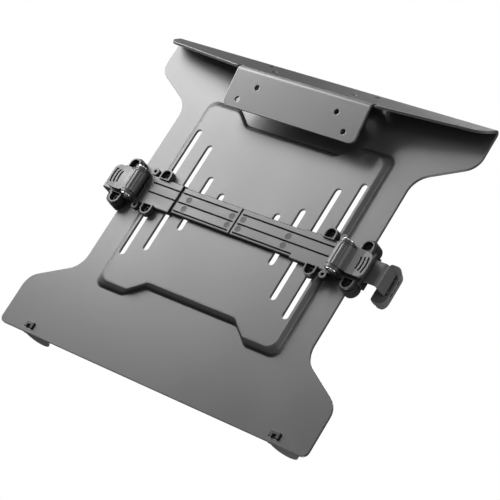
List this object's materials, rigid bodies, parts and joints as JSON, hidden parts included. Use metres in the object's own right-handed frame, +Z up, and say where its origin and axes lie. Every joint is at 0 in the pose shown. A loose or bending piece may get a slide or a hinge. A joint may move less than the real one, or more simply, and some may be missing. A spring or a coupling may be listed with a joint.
{
  "type": "laptop tray mount",
  "caption": "Steel laptop tray for a monitor arm: waisted plate with a folded bolt flange, front stops and a sliding clamp bar whose jaws are locked by cam levers.",
  "frame": {"origin": "middle of the narrow pair of bolt holes in the lip under the rear edge, on the lip's outer face", "axes": "+X towards the user's right along the tray's width, +Y towards the rear flange, +Z up out of the laptop side of the tray"},
  "size_m": [0.2988, 0.2661, 0.0459],
  "materials": {
    "tray_coat": "satin black powder coat",
    "arm_coat": "satin black coat on flat steel strip",
    "stop_plastic": "matte black moulded plastic",
    "housing_plastic": "matte black moulded plastic",
    "cover_plastic": "fine-grained black moulded plastic",
    "lever_plastic": "fine-grained black moulded plastic",
    "rubber_face": "matte black rubber",
    "zinc_steel": "zinc-plated steel",
    "black_steel": "black oxide steel",
    "shoe_steel": "plain steel",
    "bright_steel": "bright plated pin heads"
  },
  "bodies": {
    "tray": {"tray": "tray_coat", "left_stop": "stop_plastic", "right_stop": "stop_plastic", "left_stop_pad": "rubber_face", "right_stop_pad": "rubber_face"},
    "clamp_bar": {"left_housing": "housing_plastic", "right_housing": "housing_plastic", "left_cover": "cover_plastic", "right_cover": "cover_plastic", "right_rail_cover": "cover_plastic", "left_base_plate": "housing_plastic", "right_base_plate": "housing_plastic", "left_post_screws": "black_steel", "right_post_screws": "black_steel", "left_slot_nuts": "zinc_steel", "right_slot_nuts": "zinc_steel", "left_lever_pin": "bright_steel", "right_lever_pin": "bright_steel", "left_shoe": "shoe_steel", "right_shoe": "shoe_steel"},
    "left_lever": {"left_lever": "lever_plastic"},
    "right_lever": {"right_lever": "lever_plastic"},
    "left_jaw": {"left_arm": "arm_coat", "left_grip": "cover_plastic", "left_grip_pad": "rubber_face", "left_grip_rivets": "zinc_steel"},
    "right_jaw": {"right_arm": "arm_coat", "right_grip": "cover_plastic", "right_grip_pad": "rubber_face", "right_grip_rivets": "zinc_steel"}
  },
  "joints": [
    {"name": "clamp_bar_slide", "type": "slide", "parent": "tray", "child": "clamp_bar", "axis": [0, 1, 0], "range_m": [-0.03, 0.03]},
    {"name": "left_lever_turn", "type": "hinge", "parent": "clamp_bar", "child": "left_lever", "pos_m": [-0.098, -0.09798, 0.01022], "axis": [0, -1, 0], "range_deg": [0, 100]},
    {"name": "right_lever_turn", "type": "hinge", "parent": "clamp_bar", "child": "right_lever", "pos_m": [0.098, -0.09798, 0.01022], "axis": [0, 1, 0], "range_deg": [0, 100]},
    {"name": "left_jaw_slide", "type": "slide", "parent": "clamp_bar", "child": "left_jaw", "axis": [-1, 0, 0], "range_m": [-0.005, 0.055]},
    {"name": "right_jaw_slide", "type": "slide", "parent": "clamp_bar", "child": "right_jaw", "axis": [1, 0, 0], "range_m": [-0.005, 0.055]}
  ]
}
